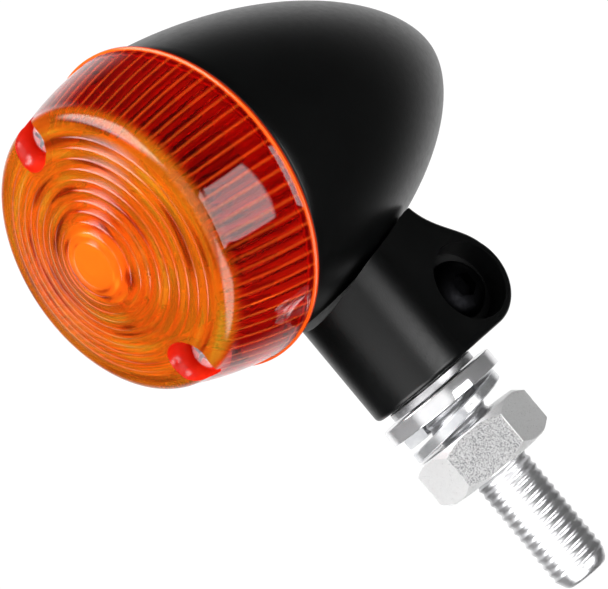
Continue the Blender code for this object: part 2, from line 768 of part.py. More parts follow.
def build_hex_nut(mats):
    corner = NUT_ACROSS_FLATS / math.sqrt(3)
    inset = 0.28
    facing = math.radians(49.86 - 90 + 30)
    nut = prism("hex_nut", hexagon(NUT_ACROSS_FLATS, (0, 0), facing), NUT_BOTTOM, NUT_TOP, "Z", mats["zinc"])
    flat = NUT_ACROSS_FLATS / 2 - 0.1
    drop = (corner + inset - flat) * math.tan(math.radians(40))
    barrel = [
        (0.0, NUT_BOTTOM - 0.01), (flat, NUT_BOTTOM - 0.01), (corner + inset, NUT_BOTTOM + drop),
        (corner + inset, NUT_TOP - drop), (flat, NUT_TOP + 0.01), (0.0, NUT_TOP + 0.01),
    ]
    cut(nut, revolved("chamfer", barrel, None, None, 48), "INTERSECT")
    bore = STUD_R + RUNNING
    drill = [
        (0.0, NUT_BOTTOM - 1.0), (bore + 1.9, NUT_BOTTOM - 1.0), (bore, NUT_BOTTOM + 0.9), (bore, NUT_TOP - 0.9),
        (bore + 1.9, NUT_TOP + 1.0), (0.0, NUT_TOP + 1.0),
    ]
    cut(nut, revolved("drill", drill, None, None, 36))
    return soften(tidy(nut), 20)


def build():
    clear_scene()
    mats = make_materials()
    pivot = bpy.data.objects.new("pivot_axis", None)
    pivot.location = (0.0, PIVOT_Y * MM, PIVOT_Z * MM)
    bpy.context.collection.objects.link(pivot)
    head = bpy.data.objects.new("head_frame", None)
    bpy.context.collection.objects.link(head)
    head.parent = pivot
    head.matrix_local = Matrix.Translation((0, -PIVOT_Y * MM, -PIVOT_Z * MM)) @ head_matrix()
    bpy.context.view_layer.update()
    build_foot(mats)
    build_stud(mats)
    build_flat_washer(mats)
    build_lock_washer(mats)
    build_hex_nut(mats)
    build_pivot_screw(mats)
    build_pivot_nut(mats)
    build_housing(mats, head)
    build_grommet(mats, head)
    build_reflector(mats, head)
    build_socket_shell(mats, head)
    build_socket_contact(mats, head)
    build_contact_spring(mats, head)
    build_lens(mats, head)
    build_gasket(mats, head)
    build_lens_screw("lens_screw_upper", 1, mats, head)
    build_lens_screw("lens_screw_lower", -1, mats, head)
    build_bulb_base(mats, head)
    build_bulb_glass(mats, head)
    build_bulb_mount(mats, head)
    build_filament(mats, head)
    build_bulb_tail(mats, head)


build()
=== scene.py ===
"""Looks of the bullet turn signal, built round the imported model."""

import json
import math

import bmesh
import bpy
from mathutils import Matrix, Vector


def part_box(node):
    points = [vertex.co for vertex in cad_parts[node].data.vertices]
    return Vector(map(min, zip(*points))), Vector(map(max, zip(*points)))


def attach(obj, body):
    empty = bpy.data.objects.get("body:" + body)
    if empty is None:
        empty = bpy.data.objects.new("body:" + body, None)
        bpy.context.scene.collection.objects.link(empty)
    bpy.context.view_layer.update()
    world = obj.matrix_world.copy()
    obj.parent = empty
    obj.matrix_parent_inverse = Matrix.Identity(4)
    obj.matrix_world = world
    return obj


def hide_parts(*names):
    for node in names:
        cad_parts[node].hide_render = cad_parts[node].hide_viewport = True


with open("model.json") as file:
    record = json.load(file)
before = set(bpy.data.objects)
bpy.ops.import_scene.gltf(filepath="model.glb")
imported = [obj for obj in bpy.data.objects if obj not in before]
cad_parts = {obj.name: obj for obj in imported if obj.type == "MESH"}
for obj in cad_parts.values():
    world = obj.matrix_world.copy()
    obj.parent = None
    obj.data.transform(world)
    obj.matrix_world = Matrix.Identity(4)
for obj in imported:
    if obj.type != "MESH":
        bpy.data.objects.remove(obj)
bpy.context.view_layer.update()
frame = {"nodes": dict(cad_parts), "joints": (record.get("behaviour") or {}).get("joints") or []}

MM = 0.001
JOINTS = {joint["name"]: joint for joint in frame["joints"]}
PIVOT = Vector(JOINTS["housing_tilt"]["pos_m"])
RIM = Vector(JOINTS["bulb_turn"]["pos_m"])
FACING = Vector(JOINTS["bulb_turn"]["axis"])
TILT = math.asin(FACING.z)
HEAD = Matrix.Translation(RIM) @ Matrix.Rotation(math.radians(90) - TILT, 4, "X")
IDENTITY = Matrix.Identity(4)

# Lens. It and the housing are drawn in the head's frame: z from the rim to the front. All in millimetres.
RIB_COUNT, RIB_STEPS, RIB_DEPTH = 72, 4, 0.5
RING_COUNT, INNER_RINGS = 11, 6
FLANGE_R, DRUM_Z, DRUM_REAR, DRUM_FRONT, DRUM_BULGE = 28.5, 0.95, 28.1, 24.95, 0.35
SHOULDER_Z, SHOULDER_R, DOME_Z, BULLSEYE = 15.0, 2.7, 21.9, 3.9
LENS_WALL = 2.0
LENS_SCREW_Y, LENS_SCREW_HOLE_R, CUP_R, CUP_FLOOR, POST_FOOT_R = 21.3, 1.59, 3.95, 12.6, 2.9

# Housing, with its pivot lug and the outlet for the leads.
HOUSING_R, HOUSING_LENGTH, HOUSING_POWER, HOUSING_ROUND = 27.2, 63.2, 1.94, 0.63
HOUSING_WALL, MOUTH_Z, MOUTH_R = 2.2, -1.4, 24.6
LUG_R, LUG_HALF, PIVOT_BORE_R = 5.5, 3.0, 3.09
OUTLET_DEPTH, OUTLET_ANGLE, OUTLET_R = 38.0, -128.0, 2.6

# Foot and its hardware.
STEM_R, STEM_EDGE, ARM_HALF, LOBE_R, FOOT_TOP = 10.6, 0.9, 10.5, 8.5, 33.0
SLOT_HALF, SLOT_FRONT, SADDLE_GAP = 3.35, 6.3, 0.45
POCKET_R, POCKET_FLOOR, NUT_POCKET_FLATS = 6.9, 6.0, 10.6
STUD_R, PITCH, STUD_TIP, STUD_HOLE_R, COLLAR_R = 5.08, 1.5, -41.0, 5.2, 8.35
# The nut's size across flats, its turn, and the bearing of the flat that is given painted shade.
HEX_NUT_FLATS, HEX_NUT_TURN, HEX_NUT_SHADED_FLAT_BEARING = 19.8, -10.14, 39.86

# Where the camera stands, and what it aims at, metres and degrees.
CAMERA_BEARING, CAMERA_ROLL, CAMERA_DISTANCE = 49.86, 39.75, 0.7
AIM_SIDEWAYS, AIM_HEIGHT, VIEW_WIDTH = -0.00647, 0.02408, 0.0998358


def compass(azimuth, elevation):
    """A direction by its bearing from -Y towards +X and its height, in degrees."""
    a, e = math.radians(azimuth), math.radians(elevation)
    return Vector((math.sin(a) * math.cos(e), -math.cos(a) * math.cos(e), math.sin(e)))


def place(verts, matrix):
    return [matrix @ (Vector(v) * MM) for v in verts]


def mesh_object(name, verts, faces, matrix=IDENTITY):
    mesh = bpy.data.meshes.new(name)
    mesh.from_pydata(place(verts, matrix), [], faces)
    shape = bmesh.new()
    shape.from_mesh(mesh)
    bmesh.ops.recalc_face_normals(shape, faces=shape.faces)
    shape.to_mesh(mesh)
    shape.free()
    made = bpy.data.objects.new(name, mesh)
    bpy.context.scene.collection.objects.link(made)
    return made


def soften(made, angle=35.0):
    made.data.shade_smooth()
    made.data.set_sharp_from_angle(angle=math.radians(angle))
    return made


def rings_to_faces(rings, closed=True):
    faces = []
    pairs = zip(rings, rings[1:] + rings[:1]) if closed else zip(rings, rings[1:])
    for here, there in pairs:
        if len(here) == 1 and len(there) == 1:
            continue
        count = max(len(here), len(there))
        for i in range(count):
            j = (i + 1) % count
            if len(here) == 1:
                faces.append((here[0], there[i], there[j]))
            elif len(there) == 1:
                faces.append((here[i], there[0], here[j]))
            else:
                faces.append((here[i], there[i], there[j], here[j]))
    return faces


def revolved(name, profile, segments=96, turn=0.0, matrix=IDENTITY, wobble=None):
    """A closed profile of (radius, z) turned about Z; wobble(k, angle) changes point k's radius."""
    verts, rings = [], []
    for k, (radius, z) in enumerate(profile):
        if radius < 1e-6:
            rings.append([len(verts)])
            verts.append((0.0, 0.0, z))
            continue
        rings.append(list(range(len(verts), len(verts) + segments)))
        for i in range(segments):
            angle = turn + 2 * math.pi * i / segments
            r = radius + (wobble(k, angle) if wobble else 0.0)
            verts.append((r * math.cos(angle), r * math.sin(angle), z))
    return mesh_object(name, verts, rings_to_faces(rings), matrix)


def circle(centre, radius, count, turn=0.0):
    angles = [turn + 2 * math.pi * i / count for i in range(count)]
    return [(centre[0] + radius * math.cos(a), centre[1] + radius * math.sin(a)) for a in angles]


def prism(name, outline, low, high, axis="Z", matrix=IDENTITY):
    """A flat outline pushed along X or Z. The outline is (y, z) for X and (x, y) for Z."""
    count = len(outline)
    verts = []
    for level in (low, high):
        for a, b in outline:
            verts.append((level, a, b) if axis == "X" else (a, b, level))
    faces = [tuple(range(count)), tuple(range(count, 2 * count))]
    for i in range(count):
        j = (i + 1) % count
        faces.append((i, j, count + j, count + i))
    return mesh_object(name, verts, faces, matrix)


def bar(name, low, high, radius, segments, matrix=IDENTITY):
    """A round bar along Z, turned a little so that its edges miss those of what it cuts."""
    return prism(name, circle((0, 0), radius, segments, 0.05), low, high, "Z", matrix)


def baked(made, modifier):
    """Applies the one modifier on the object."""
    bpy.context.view_layer.update()
    graph = bpy.context.evaluated_depsgraph_get()
    result = bpy.data.meshes.new_from_object(made.evaluated_get(graph))
    made.modifiers.remove(modifier)
    made.data = result
    return made


def cut(target, cutter, operation="DIFFERENCE"):
    modifier = target.modifiers.new("boolean", "BOOLEAN")
    modifier.operation = operation
    modifier.solver = "EXACT"
    modifier.material_mode = "TRANSFER"
    modifier.object = cutter
    baked(target, modifier)
    bpy.data.objects.remove(cutter, do_unlink=True)
    return target


def rounded(made, width, segments=3, angle=40.0):
    modifier = made.modifiers.new("round", "BEVEL")
    modifier.width = width * MM
    modifier.segments = segments
    modifier.limit_method = "ANGLE"
    modifier.angle_limit = math.radians(angle)
    modifier.use_clamp_overlap = True
    return baked(made, modifier)


def arc(centre, radius, start, end, count):
    """Points of an arc in degrees, both ends in."""
    angles = [math.radians(start + (end - start) * i / count) for i in range(count + 1)]
    return [(centre[0] + radius * math.cos(a), centre[1] + radius * math.sin(a)) for a in angles]


# ---------------------------------------------------------------- materials


class Nodes:
    """Short calls that materials and the world share."""

    def __init__(self, tree):
        self.tree = tree

    def maths(self, operation, first, second=0.0):
        node = self.tree.nodes.new("ShaderNodeMath")
        node.operation = operation
        for socket, value in zip(node.inputs, (first, second)):
            if isinstance(value, (int, float)):
                socket.default_value = value
            else:
                self.tree.links.new(value, socket)
        return node.outputs[0]

    def vector_maths(self, operation, first, second):
        """The second value is a socket or three numbers."""
        node = self.tree.nodes.new("ShaderNodeVectorMath")
        node.operation = operation
        self.tree.links.new(first, node.inputs[0])
        if isinstance(second, bpy.types.NodeSocket):
            self.tree.links.new(second, node.inputs[1])
        else:
            node.inputs[1].default_value = second
        return node.outputs["Value" if operation == "DOT_PRODUCT" else "Vector"]


class Shader(Nodes):
    """Short calls for a Principled material."""

    def __init__(self, name, **sockets):
        self.mat = bpy.data.materials.new(name)
        self.mat.use_nodes = True
        super().__init__(self.mat.node_tree)
        self.bsdf = self.tree.nodes["Principled BSDF"]
        coords = self.tree.nodes.new("ShaderNodeTexCoord")
        self.coords = coords.outputs["Object"]
        self.normal = coords.outputs["Normal"]
        for key, value in sockets.items():
            self.bsdf.inputs[key.replace("_", " ")].default_value = value

    def noise(self, scale, detail=3.0, stretch=None, rough=0.55, source=None):
        node = self.tree.nodes.new("ShaderNodeTexNoise")
        node.inputs["Scale"].default_value = scale
        node.inputs["Detail"].default_value = detail
        node.inputs["Roughness"].default_value = rough
        source = source or self.coords
        if stretch:
            source = self.vector_maths("MULTIPLY", source, stretch)
        self.tree.links.new(source, node.inputs["Vector"])
        return node.outputs["Fac"]

    def ramp(self, value, stops):
        """stops is a list of (position, grey level or colour)."""
        node = self.tree.nodes.new("ShaderNodeValToRGB")
        elements = node.color_ramp.elements
        while len(elements) > len(stops):
            elements.remove(elements[-1])
        while len(elements) < len(stops):
            elements.new(1.0)
        for element, (position, colour) in zip(elements, stops):
            element.position = position
            level = colour if isinstance(colour, tuple) else (colour,) * 3
            element.color = (*level, 1.0)
        self.tree.links.new(value, node.inputs["Fac"])
        return node.outputs["Color"]

    def mix(self, share, first, second):
        node = self.tree.nodes.new("ShaderNodeMix")
        node.data_type = "RGBA"
        self.tree.links.new(share, node.inputs["Factor"])
        for socket, value in (("A", first), ("B", second)):
            target = [s for s in node.inputs if s.name == socket and s.type == "RGBA"][0]
            if isinstance(value, tuple):
                target.default_value = (*value, 1.0)
            else:
                self.tree.links.new(value, target)
        return [s for s in node.outputs if s.type == "RGBA"][0]

    def link(self, value, socket):
        self.tree.links.new(value, self.bsdf.inputs[socket])
        return self

    def bump(self, height, strength, distance):
        node = self.tree.nodes.new("ShaderNodeBump")
        node.inputs["Strength"].default_value = strength
        node.inputs["Distance"].default_value = distance
        self.tree.links.new(height, node.inputs["Height"])
        previous = self.bsdf.inputs["Normal"].links
        if previous:
            self.tree.links.new(previous[0].from_socket, node.inputs["Normal"])
        self.tree.links.new(node.outputs["Normal"], self.bsdf.inputs["Normal"])
        return self

    def along(self, direction, low, high, clamped=True):
        """0 at low and 1 at high, both in metres along a direction."""
        node = self.tree.nodes.new("ShaderNodeMapRange")
        node.inputs["From Min"].default_value = low
        node.inputs["From Max"].default_value = high
        node.clamp = clamped
        self.tree.links.new(self.vector_maths("DOT_PRODUCT", self.coords, direction), node.inputs["Value"])
        return node.outputs["Result"]


def satin_black():
    s = Shader("satin_black_coat", Specular_IOR_Level=0.4)
    cloud = s.noise(60.0, 4.0)
    s.link(s.ramp(cloud, [(0.3, (0.0025, 0.0027, 0.0028)), (0.75, (0.004, 0.0043, 0.0045))]), "Base Color")
    s.link(s.ramp(s.noise(900.0, 3.0), [(0.25, 0.3), (0.8, 0.38)]), "Roughness")
    s.bump(s.noise(3400.0, 2.0), 0.22, 0.00006)
    s.bump(s.noise(500.0, 2.0), 0.12, 0.00008)
    return s.mat


def bright_metal(name, light, dark, rough_low, rough_high, bump, scale, metallic):
    s = Shader(name, Metallic=metallic)
    s.link(s.ramp(s.noise(scale * 0.3, 4.0), [(0.25, dark), (0.7, light)]), "Base Color")
    s.link(s.ramp(s.noise(scale, 4.0), [(0.3, rough_low), (0.8, rough_high)]), "Roughness")
    s.bump(s.noise(scale * 0.6, 3.0), bump, 0.00005)
    return s.mat


def mottled_zinc():
    """Grainy plating, coarser and darker on the flat that faces the screw side of the front: that flat's
    darker tone is painted shade, in place of the darker reflection it shows.
    """
    s = Shader("mottled_zinc", Metallic=0.55)
    cells = s.noise(3600.0, 3.0, rough=0.7)
    dark = s.ramp(cells, [(0.36, (0.2, 0.2, 0.21)), (0.62, (0.72, 0.72, 0.72))])
    light = s.ramp(cells, [(0.36, (0.86, 0.86, 0.86)), (0.6, (1.0, 1.0, 1.0))])
    # Painted shade: the flat whose normal points along this bearing takes the darker, coarser tone.
    painted_shade_share = s.vector_maths("DOT_PRODUCT", s.normal, compass(HEX_NUT_SHADED_FLAT_BEARING, 0.0))
    s.link(s.mix(s.ramp(painted_shade_share, [(0.9, 0.0), (0.97, 1.0)]), light, dark), "Base Color")
    s.link(s.ramp(cells, [(0.3, 0.4), (0.7, 0.25)]), "Roughness")
    s.bump(s.noise(2600.0, 3.0, rough=0.6), 0.45, 0.00008)
    return s.mat


def amber_cup():
    """The cups' walls look deeper, since light crosses them edge on."""
    s = Shader("amber_cup", Transmission_Weight=0.2, IOR=1.5)
    tone = s.ramp(s.noise(300.0, 3.0), [(0.3, (0.86, 0.018, 0.006)), (0.75, (0.95, 0.04, 0.01))])
    s.link(tone, "Base Color")
    s.link(s.ramp(s.noise(900.0, 3.0), [(0.3, 0.08), (0.85, 0.25)]), "Roughness")
    s.bump(s.noise(400.0, 2.0), 0.2, 0.0001)
    return s.mat


def lens_coordinates(s):
    """Depth, 0 at the flange's back and 1 at the front, and x and y across the axis in metres."""
    rear = RIM.dot(FACING)
    up = HEAD.to_3x3() @ Vector((0, 1, 0))
    depth = s.along(tuple(FACING), rear, rear + 0.022)
    x = s.along((1.0, 0.0, 0.0), 0.0, 1.0, False)
    y = s.along(tuple(up), RIM.dot(up), RIM.dot(up) + 1.0, False)
    return depth, x, y


def rib_distance(s, x, y):
    """0 on the crest of a rib and 0.5 halfway between two."""
    turns = s.maths("MULTIPLY", s.maths("ARCTAN2", y, x), RIB_COUNT / (2 * math.pi))
    return s.maths("ABSOLUTE", s.maths("SUBTRACT", s.maths("FRACT", turns), 0.5))


def front_painted_reflections(s, x, y):
    """Painted reflections and highlights: darker and lighter arcs round the axis, outside the plain centre,
    in place of the lamp's inside seen through the front.
    """
    radius = s.maths("SQRT", s.maths("ADD", s.maths("MULTIPLY", x, x), s.maths("MULTIPLY", y, y)))
    place = s.tree.nodes.new("ShaderNodeCombineXYZ")
    s.tree.links.new(s.maths("MULTIPLY", radius, 620.0), place.inputs["X"])
    s.tree.links.new(s.maths("DIVIDE", x, radius), place.inputs["Y"])
    s.tree.links.new(s.maths("DIVIDE", y, radius), place.inputs["Z"])
    # Painted reflection: the dark stops stand for the inside seen through, and the stops above one are
    # painted highlights.
    arcs = s.ramp(s.noise(1.0, 1.0, source=place.outputs["Vector"]), [
        (0.3, (0.42, 0.2, 0.3)), (0.42, (0.97, 0.8, 1.0)), (0.58, (1.0, 1.0, 1.0)), (0.74, (1.0, 1.7, 2.5)),
    ])
    outside = s.ramp(s.maths("MULTIPLY", radius, 100.0), [(0.39, 0.0), (0.43, 1.0)])
    return s.mix(outside, (1.0, 1.0, 1.0), arcs)


def amber():
    """Part clear, part cloudy: red down the drum with a painted highlight along each rib, orange over the
    front with painted reflections in arcs, and painted shade at the flange's rear edge.
    """
    s = Shader("amber_moulding", IOR=1.42, Specular_IOR_Level=0.32)
    depth, x, y = lens_coordinates(s)
    rib = rib_distance(s, x, y)
    on_drum = s.ramp(depth, [(0.035, 0.0), (0.05, 1.0)])
    on_front = s.ramp(depth, [(0.66, 0.0), (0.74, 1.0)])
    # Painted shade: the flange's rear edge, against the gasket, is darker red than the rest of the flange.
    flange = s.ramp(depth, [(0.012, (0.45, 0.02, 0.004)), (0.028, (1.0, 0.13, 0.01))])
    # Painted highlight: rib crests are bright red-orange and cloudier, and the red between them is deep.
    drum = s.mix(s.ramp(rib, [(0.04, 1.0), (0.17, 0.0)]), (0.62, 0.012, 0.004), (1.0, 0.13, 0.012))
    front = s.ramp(depth, [
        (0.66, (1.0, 0.14, 0.01)), (0.78, (1.0, 0.36, 0.012)),
        (0.9, (1.0, 0.26, 0.01)), (1.0, (1.0, 0.2, 0.01)),
    ])
    # Painted reflections in arcs over the front.
    front = s.vector_maths("MULTIPLY", front, front_painted_reflections(s, x, y))
    tone = s.mix(on_drum, flange, s.mix(on_front, drum, front))
    cloud = s.ramp(s.noise(140.0, 3.0), [(0.35, (1.0, 0.88, 0.86)), (0.7, (1.0, 1.0, 1.0))])
    s.link(s.vector_maths("MULTIPLY", tone, cloud), "Base Color")
    clear_drum = s.ramp(rib, [(0.04, 0.7), (0.17, 0.96)])
    clear_front = s.ramp(depth, [(0.95, 0.78), (0.99, 0.45)])
    clear = s.mix(on_drum, (0.1, 0.1, 0.1), s.mix(on_front, clear_drum, clear_front))
    s.link(clear, "Transmission Weight")
    s.link(s.ramp(s.noise(450.0, 4.0), [(0.3, 0.01), (0.85, 0.05)]), "Roughness")
    s.bump(s.noise(220.0, 2.0), 0.05, 0.0001)
    return s.mat


def rubber():
    s = Shader("soft_rubber", Specular_IOR_Level=0.3)
    s.link(s.ramp(s.noise(300.0, 3.0), [(0.3, 0.012), (0.8, 0.03)]), "Base Color")
    s.link(s.ramp(s.noise(1200.0, 2.0), [(0.3, 0.6), (0.8, 0.8)]), "Roughness")
    s.bump(s.noise(2500.0, 2.0), 0.3, 0.00006)
    return s.mat


def clear_glass():
    s = Shader("bulb_glass", Transmission_Weight=1.0, IOR=1.5)
    s.link(s.ramp(s.noise(120.0, 2.0), [(0.3, (0.93, 0.96, 0.95)), (0.8, (0.98, 0.99, 0.99))]), "Base Color")
    s.link(s.ramp(s.noise(300.0, 3.0), [(0.4, 0.0), (0.9, 0.03)]), "Roughness")
    s.bump(s.noise(90.0, 1.0), 0.08, 0.0001)
    return s.mat


def fibre_board():
    s = Shader("fibre_board")
    streak = s.noise(900.0, 4.0, (1.0, 1.0, 0.2))
    s.link(s.ramp(streak, [(0.3, (0.19, 0.085, 0.035)), (0.75, (0.36, 0.19, 0.09))]), "Base Color")
    s.link(s.ramp(streak, [(0.3, 0.9), (0.8, 0.65)]), "Roughness")
    s.bump(streak, 0.4, 0.0001)
    return s.mat


def dark_glass():
    s = Shader("black_insulator")
    tone = s.ramp(s.noise(400.0, 3.0), [(0.3, (0.008, 0.008, 0.012)), (0.8, (0.03, 0.03, 0.04))])
    s.link(tone, "Base Color")
    s.link(s.ramp(s.noise(700.0, 3.0), [(0.3, 0.12), (0.8, 0.3)]), "Roughness")
    s.bump(s.noise(500.0, 2.0), 0.15, 0.00006)
    return s.mat


def black_oxide():
    s = Shader("black_oxide", Metallic=1.0)
    tone = s.ramp(s.noise(500.0, 4.0), [(0.3, (0.006, 0.006, 0.007)), (0.8, (0.016, 0.016, 0.018))])
    s.link(tone, "Base Color")
    s.link(s.ramp(s.noise(1300.0, 3.0), [(0.3, 0.45), (0.8, 0.6)]), "Roughness")
    s.bump(s.noise(1800.0, 2.0), 0.2, 0.00005)
    return s.mat


# Name, light tone, dark tone, least and most roughness, bump, grain scale and metallic value.
METALS = {
    "chrome": ("bright_chrome", (0.9, 0.9, 0.91), (0.8, 0.8, 0.82), 0.07, 0.16, 0.08, 700.0, 0.75),
    "plate": ("zinc_plate", (0.86, 0.87, 0.88), (0.66, 0.67, 0.7), 0.14, 0.28, 0.2, 1100.0, 0.75),
    "bolt": ("zinc_bolt", (0.88, 0.88, 0.89), (0.72, 0.72, 0.74), 0.32, 0.48, 0.25, 1100.0, 0.86),
    "sheet": ("pressed_sheet", (0.96, 0.96, 0.96), (0.88, 0.88, 0.88), 0.5, 0.62, 0.15, 300.0, 1.0),
    "brass": ("bright_brass", (0.84, 0.62, 0.28), (0.62, 0.42, 0.16), 0.14, 0.34, 0.15, 500.0, 1.0),
    "wire": ("drawn_wire", (0.45, 0.45, 0.46), (0.25, 0.25, 0.26), 0.25, 0.45, 0.2, 2000.0, 1.0),
    "solder": ("dull_solder", (0.7, 0.7, 0.69), (0.45, 0.45, 0.45), 0.3, 0.5, 0.4, 800.0, 1.0),
}
MATS = {key: bright_metal(*values) for key, values in METALS.items()}
MATS.update(black=satin_black(), amber=amber(), cup=amber_cup(), mottled=mottled_zinc(), oxide=black_oxide())
MATS.update(rubber=rubber(), glass=clear_glass(), fibre=fibre_board(), vitrite=dark_glass())


def finish_piece(made, mat, body, nodes):
    made.data.materials.clear()
    made.data.materials.append(MATS[mat])
    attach(made, body)
    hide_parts(*nodes)
    return made


# ---------------------------------------------------------------- lens


def ring_steps(outer_r, outer_z, inner_r, inner_z, count, riser, lean):
    """Terraces that climb from the outer radius to the inner one."""
    points = []
    for i in range(count):
        r0 = outer_r + (inner_r - outer_r) * i / count
        r1 = outer_r + (inner_r - outer_r) * (i + 1) / count
        z0 = outer_z + (inner_z - outer_z) * i / count
        z1 = outer_z + (inner_z - outer_z) * (i + 1) / count
        points.append((r0, z0))
        points.append((r0 - 0.12, z0 + 0.03))
        points.append((r1 + lean + 0.1, z1 - riser))
        points.append((r1 + lean, z1 - riser + 0.05))
    return points


def lens_outer():
    """From the flange's rear edge, up the drum and over the rings to the centre."""
    points = [(FLANGE_R - 0.2, 0.0), (FLANGE_R, 0.12), (FLANGE_R, 0.58), (FLANGE_R - 0.12, 0.7)]
    points += [(DRUM_REAR + 0.1, DRUM_Z - 0.17), (DRUM_REAR, DRUM_Z)]
    for i in range(1, 13):
        share = i / 12
        bulge = DRUM_BULGE * math.sin(math.pi * share)
        radius = DRUM_REAR + (DRUM_FRONT - DRUM_REAR) * share + bulge
        points.append((radius, DRUM_Z + (SHOULDER_Z - DRUM_Z) * share))
    centre = (DRUM_FRONT - SHOULDER_R, SHOULDER_Z)
    points += arc(centre, SHOULDER_R, 12, 76, 7)
    edge_z = SHOULDER_Z + SHOULDER_R
    points += ring_steps(DRUM_FRONT - SHOULDER_R, edge_z, BULLSEYE, DOME_Z, RING_COUNT, 0.14, 0.1)
    points += [(BULLSEYE, DOME_Z - 0.05), (BULLSEYE - 0.12, DOME_Z), (1.5, DOME_Z), (0.0, DOME_Z)]
    return points


def lens_inner():
    """From the centre back out to the rear edge, and which points carry ribs."""
    crown = DOME_Z - LENS_WALL
    front, rear = DRUM_FRONT - LENS_WALL, DRUM_REAR - LENS_WALL
    points = [(0.0, crown), (BULLSEYE - 0.1, crown)]
    outer = DRUM_FRONT - SHOULDER_R - 0.4
    fall = 3.6
    for i in range(INNER_RINGS):
        share = (i + 1) / INNER_RINGS
        radius = BULLSEYE + (outer - BULLSEYE) * share
        points.append((radius - 0.5, crown - fall * share + fall / INNER_RINGS - 0.05))
        points.append((radius, crown - fall * share - 0.05))
    ribbed = len(points)
    points.append((front - 0.25, SHOULDER_Z - 0.6))
    for i in range(1, 11):
        share = i / 10
        points.append((front + (rear - front) * share, SHOULDER_Z - 1.0 - (SHOULDER_Z - 1.5) * share))
    last = len(points)
    points.append((rear, 0.0))
    return points, ribbed, last


def lens_shell():
    """The whole moulding before its screw posts and cups, with ribs on the drum's inner wall."""
    outer = lens_outer()
    inner, first, last = lens_inner()
    first += len(outer)
    last += len(outer)

    def ribs(k, angle):
        if not first <= k < last:
            return 0.0
        return -RIB_DEPTH * abs(math.sin(angle * RIB_COUNT / 2)) + 0.15

    return revolved("lens_moulding", outer + inner, RIB_COUNT * RIB_STEPS, 0.0, HEAD, ribs)


def at_screw(side):
    """The axis of the upper (1) or lower (-1) lens screw."""
    return HEAD @ Matrix.Translation((0, side * LENS_SCREW_Y * MM, 0))


def lens_envelope():
    """Everything inside the lens's outer skin, to trim the screw posts."""
    points = [(0.0, -2.0), (26.2, -2.0), (26.2, 8.0), (DRUM_FRONT - 0.15, SHOULDER_Z)]
    points += arc((DRUM_FRONT - SHOULDER_R - 0.15, SHOULDER_Z - 0.15), SHOULDER_R, 15, 76, 6)
    points += [(20.0, SHOULDER_Z + SHOULDER_R + 0.1), (0.0, DOME_Z - 0.9)]
    return points


def build_lens():
    lens = lens_shell()
    lens.data.materials.append(MATS["amber"])
    post_profile = [(0.0, 0.35), (POST_FOOT_R, 0.35), (POST_FOOT_R, 9.6), (POST_FOOT_R + 0.5, 10.3)]
    post_profile += [(CUP_R + 0.75, 10.8), (CUP_R + 0.95, 11.2), (CUP_R + 0.95, 24.0), (0.0, 24.0)]
    for side in (-1, 1):
        post = revolved("post", post_profile, 64, 0.11, at_screw(side))
        post.data.materials.append(MATS["cup"])
        envelope = revolved("envelope", lens_envelope(), 180, 0.013, HEAD)
        envelope.data.materials.append(MATS["cup"])
        cut(post, envelope, "INTERSECT")
        cut(lens, post, "UNION")
    cup = [(0.0, CUP_FLOOR), (CUP_R - 0.25, CUP_FLOOR), (CUP_R, CUP_FLOOR + 0.25)]
    cup += [(CUP_R + 0.1, 30.0), (0.0, 30.0)]
    for side in (-1, 1):
        cutter = revolved("cup", cup, 72, 0.07, at_screw(side))
        cutter.data.materials.append(MATS["cup"])
        cut(lens, cutter)
        cut(lens, bar("hole", -3.0, 20.0, LENS_SCREW_HOLE_R, 36, at_screw(side)))
    soften(lens, 30)
    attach(lens, "lens_unit")
    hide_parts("lens")
    return lens


def build_gasket():
    profile = [(27.5, -0.3), (27.6, -0.4), (27.6, -1.0), (27.5, -1.1), (24.9, -1.1), (24.9, -0.3)]
    ring = soften(revolved("lens_gasket_ring", profile, 180, 0.0, HEAD))
    return finish_piece(ring, "rubber", "lens_unit", ["lens_gasket"])


def cross_recess(top, matrix):
    """A four-armed cutter for the driver."""
    points = []
    for quarter in range(4):
        angle = quarter * math.pi / 2 + 0.35
        for along, across in ((0.42, -0.42), (1.85, -0.3), (1.85, 0.3)):
            x = along * math.cos(angle) - across * math.sin(angle)
            y = along * math.sin(angle) + across * math.cos(angle)
            points.append((x, y))
    return prism("recess", points, top - 1.15, top + 1.0, "Z", matrix)


def build_lens_screw(side, node, body):
    seat = CUP_FLOOR + 0.3
    top = seat + 1.9
    profile = [(0.0, top), (1.2, top - 0.03), (2.0, top - 0.18), (2.6, top - 0.5), (2.88, top - 0.9)]
    profile += [(2.95, top - 1.2), (2.95, seat + 0.1), (2.85, seat), (1.5, seat)]
    profile += [(1.5, -11.0), (0.9, -12.3), (0.0, -12.3)]
    screw = revolved(node + "_piece", profile, 64, 0.0, at_screw(side))
    cut(screw, cross_recess(top, at_screw(side)))
    soften(screw, 30)
    return finish_piece(screw, "chrome", body, [node])


# ---------------------------------------------------------------- head


def bullet(offset, start, steps):
    """The housing's outline, offset outwards, from a depth behind the rim to the tip."""
    length = HOUSING_LENGTH + offset
    points = []
    for i in range(steps):
        share = start / length + (1 - start / length) * math.sin(0.5 * math.pi * i / steps)
        radius = (HOUSING_R + offset) * (1 - share**HOUSING_POWER) ** HOUSING_ROUND
        points.append((radius, -share * length))
    return points + [(0.0, -length)]


def to_head(y, z):
    """A point of the object's middle plane, in the head's frame."""
    local = HEAD.inverted() @ (Vector((0, y, z)) * MM)
    return (local.y / MM, local.z / MM)


def lug_outline():
    """An eye about the pivot that runs up into the housing's wall."""
    centre = (PIVOT.y / MM, PIVOT.z / MM)
    outline = arc(centre, LUG_R, -188, 10, 40)
    outline += [(17.9, 11.5), (17.0, 18.5), (17.0, 24.7), (13.3, 23.7), (8.4, 22.4), (7.6, 16.0)]
    return [to_head(y, z) for y, z in outline]


def housing_radius(depth):
    return HOUSING_R * (1 - (depth / HOUSING_LENGTH) ** HOUSING_POWER) ** HOUSING_ROUND


